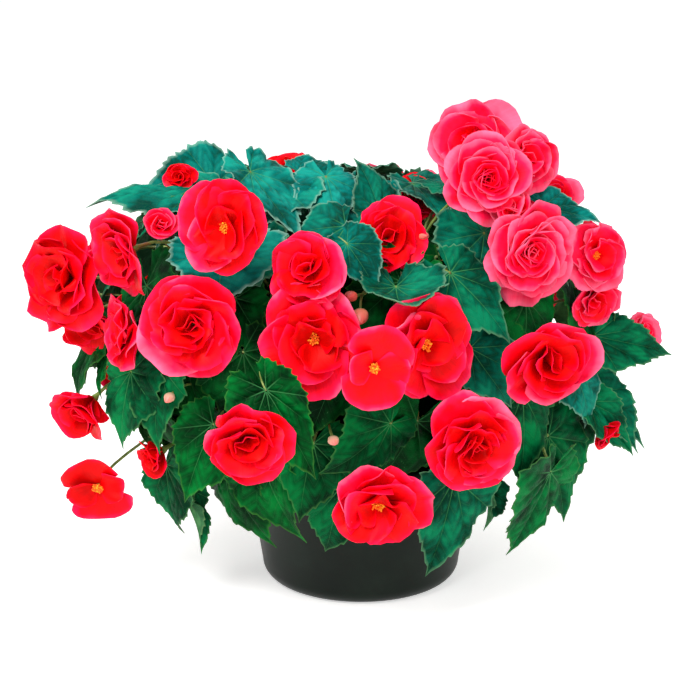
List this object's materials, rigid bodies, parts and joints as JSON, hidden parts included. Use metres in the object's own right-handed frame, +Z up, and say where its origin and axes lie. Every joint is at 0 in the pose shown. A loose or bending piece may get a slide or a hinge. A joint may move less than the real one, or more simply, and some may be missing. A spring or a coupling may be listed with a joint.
{
  "type": "potted begonia",
  "caption": "Flowering begonia in a round plastic pot: a mound of pointed, toothed leaves on arching stems, with large ruffled double flowers over the front, top and sides",
  "frame": {"origin": "Middle of the pot's flat base, on the surface that the pot stands on", "axes": "+Z up, the front of the plant towards -Y, +X to the right seen from the front"},
  "size_m": [0.6245, 0.5329, 0.5006],
  "materials": {
    "pot_plastic": "satin dark green-black moulded polypropylene",
    "compost": "damp crumbly peat-free compost",
    "tuber_skin": "rough fibrous brown skin",
    "stem": "smooth fleshy green skin with a reddish flush",
    "leaf": "semi-gloss green blade with raised veins",
    "petal": "soft satin coral-red petals"
  },
  "bodies": {
    "root": {"pot": "pot_plastic", "compost": "compost", "tuber": "tuber_skin", "stem_front": "stem", "stem_front_left": "stem", "stem_left": "stem", "stem_back_left": "stem", "stem_back_right": "stem", "stem_right": "stem", "stem_tall": "stem", "leaf_front_centre": "leaf", "leaf_front_bud": "leaf", "leaf_front_drooping": "leaf", "leaf_low_left_large": "leaf", "leaf_low_front_left": "leaf", "leaf_low_front": "leaf", "leaf_left_round": "leaf", "leaf_left_upper": "leaf", "leaf_left_hanging": "leaf", "leaf_far_left": "leaf", "leaf_collar": "leaf", "leaf_top_left_long": "leaf", "leaf_top_left": "leaf", "leaf_top_centre": "leaf", "leaf_top_upright": "leaf", "leaf_cupped": "leaf", "leaf_centre_right": "leaf", "leaf_top_right": "leaf", "leaf_far_right": "leaf", "leaf_right_trailing": "leaf", "leaf_right_hanging": "leaf", "leaf_low_right": "leaf", "leaf_right_centre": "leaf", "leaf_back_left": "leaf", "leaf_back_right": "leaf", "flower_upper_left": "petal", "flower_far_left": "petal", "flower_left_below": "petal", "flower_left_cup": "petal", "flower_left_large": "petal", "flower_left_behind": "petal", "flower_centre_upper": "petal", "flower_centre": "petal", "flower_centre_single": "petal", "flower_centre_right": "petal", "flower_low_left": "petal", "flower_low_centre": "petal", "flower_low_right": "petal", "flower_right": "petal", "flower_top_rose": "petal", "flower_top_behind": "petal", "flower_right_rose": "petal", "flower_far_right_single": "petal", "flower_far_right_below": "petal", "flower_right_behind": "petal", "flower_trailing_bell": "petal", "flower_trailing_single": "petal", "flower_back_left": "petal", "flower_back_right": "petal", "flower_back_low": "petal"}
  },
  "joints": []
}
